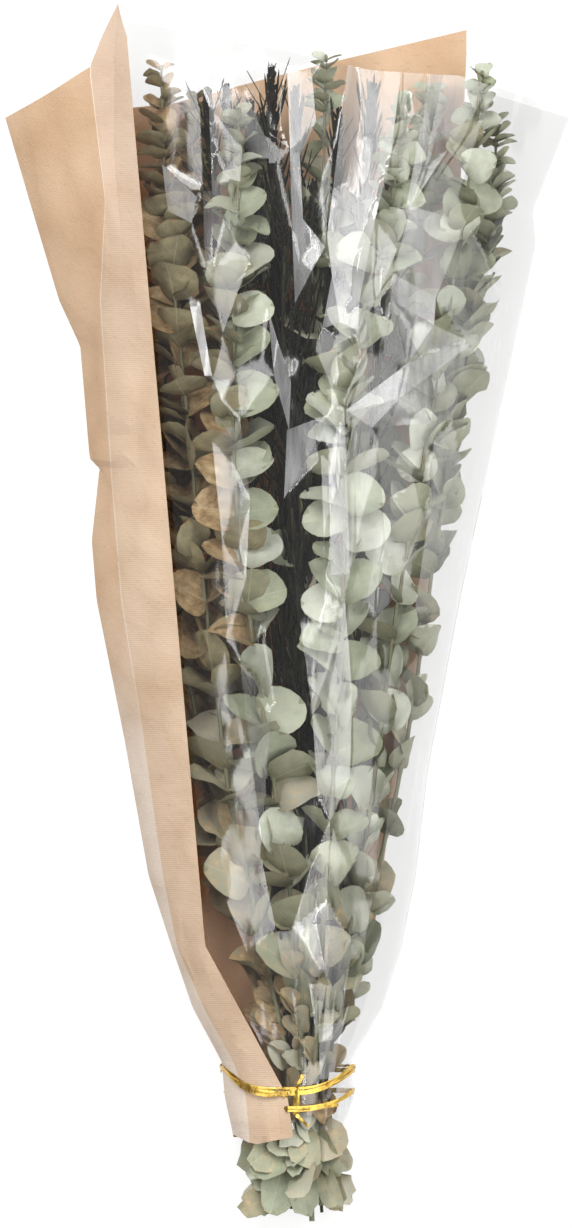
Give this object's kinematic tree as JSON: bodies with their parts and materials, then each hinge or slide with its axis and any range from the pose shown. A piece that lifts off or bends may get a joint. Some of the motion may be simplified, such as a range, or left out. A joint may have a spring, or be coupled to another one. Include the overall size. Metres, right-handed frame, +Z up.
{
  "type": "dried flower bundle",
  "caption": "Bundle of dried round-leaved eucalyptus and dark lavender in a flat cone sleeve of kraft paper and clear film, tied with gold ribbon near the cut stems, lying on its paper back.",
  "frame": {"origin": "on the surface that the bundle lies on, under the middle of its outline", "axes": "+Y runs from the cut stems to the open mouth of the sleeve, +X to the right seen from above, +Z up from the surface"},
  "size_m": [0.322, 0.6941, 0.0841],
  "materials": {
    "kraft_paper": "matt ribbed brown kraft paper",
    "clear_film": "clear glossy crinkled packing film",
    "gold_ribbon": "shiny gold metallised ribbon",
    "eucalyptus": "matt waxy grey-green dried leaf and stem",
    "lavender_stalk": "matt dark dried stalk",
    "lavender_flower": "matt dark purple-grey dried flower buds"
  },
  "bodies": {
    "root": {"clear_film": "clear_film", "eucalyptus_stem_01": "eucalyptus", "eucalyptus_stem_02": "eucalyptus", "eucalyptus_stem_03": "eucalyptus", "eucalyptus_stem_04": "eucalyptus", "eucalyptus_stem_05": "eucalyptus", "eucalyptus_stem_06": "eucalyptus", "eucalyptus_stem_07": "eucalyptus", "eucalyptus_stem_08": "eucalyptus", "eucalyptus_stem_09": "eucalyptus", "eucalyptus_stem_10": "eucalyptus", "gold_tie": "gold_ribbon", "kraft_paper": "kraft_paper", "lavender_head_01": "lavender_flower", "lavender_head_02": "lavender_flower", "lavender_head_03": "lavender_flower", "lavender_head_04": "lavender_flower", "lavender_head_05": "lavender_flower", "lavender_head_06": "lavender_flower", "lavender_head_07": "lavender_flower", "lavender_head_08": "lavender_flower", "lavender_head_09": "lavender_flower", "lavender_head_10": "lavender_flower", "lavender_head_11": "lavender_flower", "lavender_head_12": "lavender_flower", "lavender_head_13": "lavender_flower", "lavender_head_14": "lavender_flower", "lavender_head_15": "lavender_flower", "lavender_head_16": "lavender_flower", "lavender_stalk_01": "lavender_stalk", "lavender_stalk_02": "lavender_stalk", "lavender_stalk_03": "lavender_stalk", "lavender_stalk_04": "lavender_stalk", "lavender_stalk_05": "lavender_stalk", "lavender_stalk_06": "lavender_stalk", "lavender_stalk_07": "lavender_stalk", "lavender_stalk_08": "lavender_stalk", "lavender_stalk_09": "lavender_stalk", "lavender_stalk_10": "lavender_stalk", "lavender_stalk_11": "lavender_stalk", "lavender_stalk_12": "lavender_stalk", "lavender_stalk_13": "lavender_stalk", "lavender_stalk_14": "lavender_stalk", "lavender_stalk_15": "lavender_stalk", "lavender_stalk_16": "lavender_stalk"}
  },
  "joints": []
}
